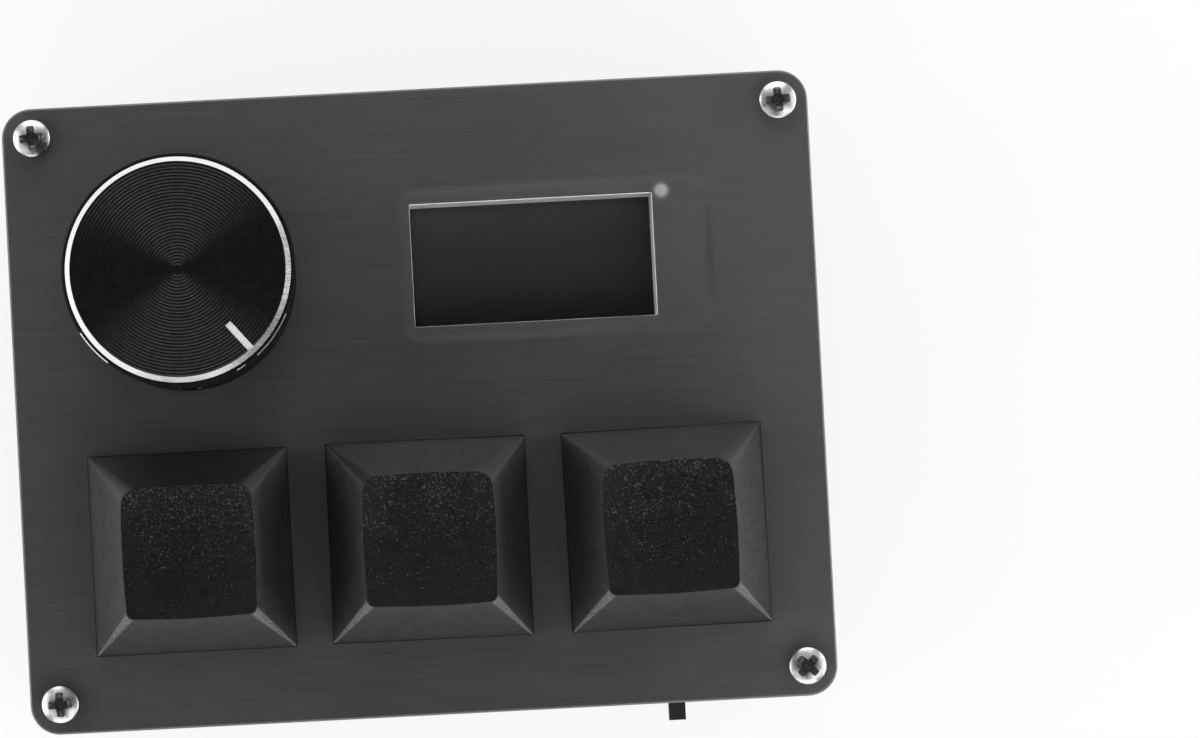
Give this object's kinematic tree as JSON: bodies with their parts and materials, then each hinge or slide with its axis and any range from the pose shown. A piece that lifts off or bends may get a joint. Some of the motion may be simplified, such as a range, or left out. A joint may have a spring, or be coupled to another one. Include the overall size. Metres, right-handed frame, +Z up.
{
  "type": "macro keypad with knob",
  "caption": "Low desk keypad with sloping square keys, a turned push knob, a small screen window and a slide switch on its front edge.",
  "frame": {"origin": "middle of the overall footprint on the desk, at the feet's faces", "axes": "+X to the keypad's right, +Y to its rear edge, +Z up"},
  "size_m": [0.0732, 0.0588, 0.038],
  "materials": {
    "case_plastic": "fine satin grain",
    "key_plastic": "fine satin grain",
    "black_plastic": "satin",
    "white_plastic": "satin",
    "brown_plastic": "satin",
    "screw_steel": "bright nickel plate",
    "shell_steel": "satin plate",
    "spring_steel": "drawn wire",
    "knob_metal": "black anodised, spun",
    "panel_metal": "dark anodised, finely brushed",
    "contact_brass": "tinned",
    "foot_rubber": "matt",
    "gasket_foam": "matt foam",
    "board_resin": "lacquered glass-fibre board",
    "chip_resin": "moulded",
    "flex_film": "polyimide film",
    "screen_glass": "polished, dark behind"
  },
  "bodies": {
    "case": {"case_tub": "case_plastic", "top_panel": "panel_metal", "panel_screws": "screw_steel", "board_screws": "shell_steel", "rubber_feet": "foot_rubber", "main_board": "board_resin", "usb_socket_shell": "shell_steel", "usb_socket_tongue": "black_plastic", "slide_switch_shell": "shell_steel", "slide_switch_base": "brown_plastic", "controller_chip": "chip_resin", "crystal_can": "shell_steel", "small_board_parts": "chip_resin", "screen_glass": "screen_glass", "screen_frame": "white_plastic", "screen_gasket": "gasket_foam", "screen_holder": "black_plastic", "screen_flex": "flex_film", "encoder_base": "black_plastic", "encoder_frame": "shell_steel", "encoder_bushing": "shell_steel", "encoder_terminals": "contact_brass", "left_switch_base": "black_plastic", "left_switch_top": "black_plastic", "left_switch_contacts": "contact_brass", "left_switch_spring": "spring_steel", "middle_switch_base": "black_plastic", "middle_switch_top": "black_plastic", "middle_switch_contacts": "contact_brass", "middle_switch_spring": "spring_steel", "right_switch_base": "black_plastic", "right_switch_top": "black_plastic", "right_switch_contacts": "contact_brass", "right_switch_spring": "spring_steel"},
    "knob_press": {"encoder_plunger": "white_plastic"},
    "knob_turn": {"encoder_shaft": "shell_steel", "knob_body": "knob_metal", "knob_insert": "black_plastic", "knob_set_screw": "shell_steel"},
    "slide_lever": {"slide_switch_lever": "black_plastic"},
    "left_key": {"left_keycap": "key_plastic", "left_switch_stem": "brown_plastic"},
    "middle_key": {"middle_keycap": "key_plastic", "middle_switch_stem": "brown_plastic"},
    "right_key": {"right_keycap": "key_plastic", "right_switch_stem": "brown_plastic"}
  },
  "joints": [
    {"name": "left_key_press", "type": "slide", "parent": "case", "child": "left_key", "axis": [0, 0, -1], "range_m": [0, 0.004], "stiffness_N_per_m": 60, "springref_m": -0.006, "deforming": ["left_switch_spring"]},
    {"name": "middle_key_press", "type": "slide", "parent": "case", "child": "middle_key", "axis": [0, 0, -1], "range_m": [0, 0.004], "stiffness_N_per_m": 60, "springref_m": -0.006, "deforming": ["middle_switch_spring"]},
    {"name": "right_key_press", "type": "slide", "parent": "case", "child": "right_key", "axis": [0, 0, -1], "range_m": [0, 0.004], "stiffness_N_per_m": 60, "springref_m": -0.006, "deforming": ["right_switch_spring"]},
    {"name": "knob_press_down", "type": "slide", "parent": "case", "child": "knob_press", "axis": [0, 0, -1], "range_m": [0, 0.0005], "stiffness_N_per_m": 2000, "springref_m": -0.001},
    {"name": "knob_turn_about", "type": "hinge", "parent": "knob_press", "child": "knob_turn", "pos_m": [-0.02055, 0.01299, 0.03], "axis": [0, 0, 1], "continuous": true},
    {"name": "slide_lever_travel", "type": "slide", "parent": "case", "child": "slide_lever", "axis": [1, 0, 0], "range_m": [0, 0.002]}
  ]
}
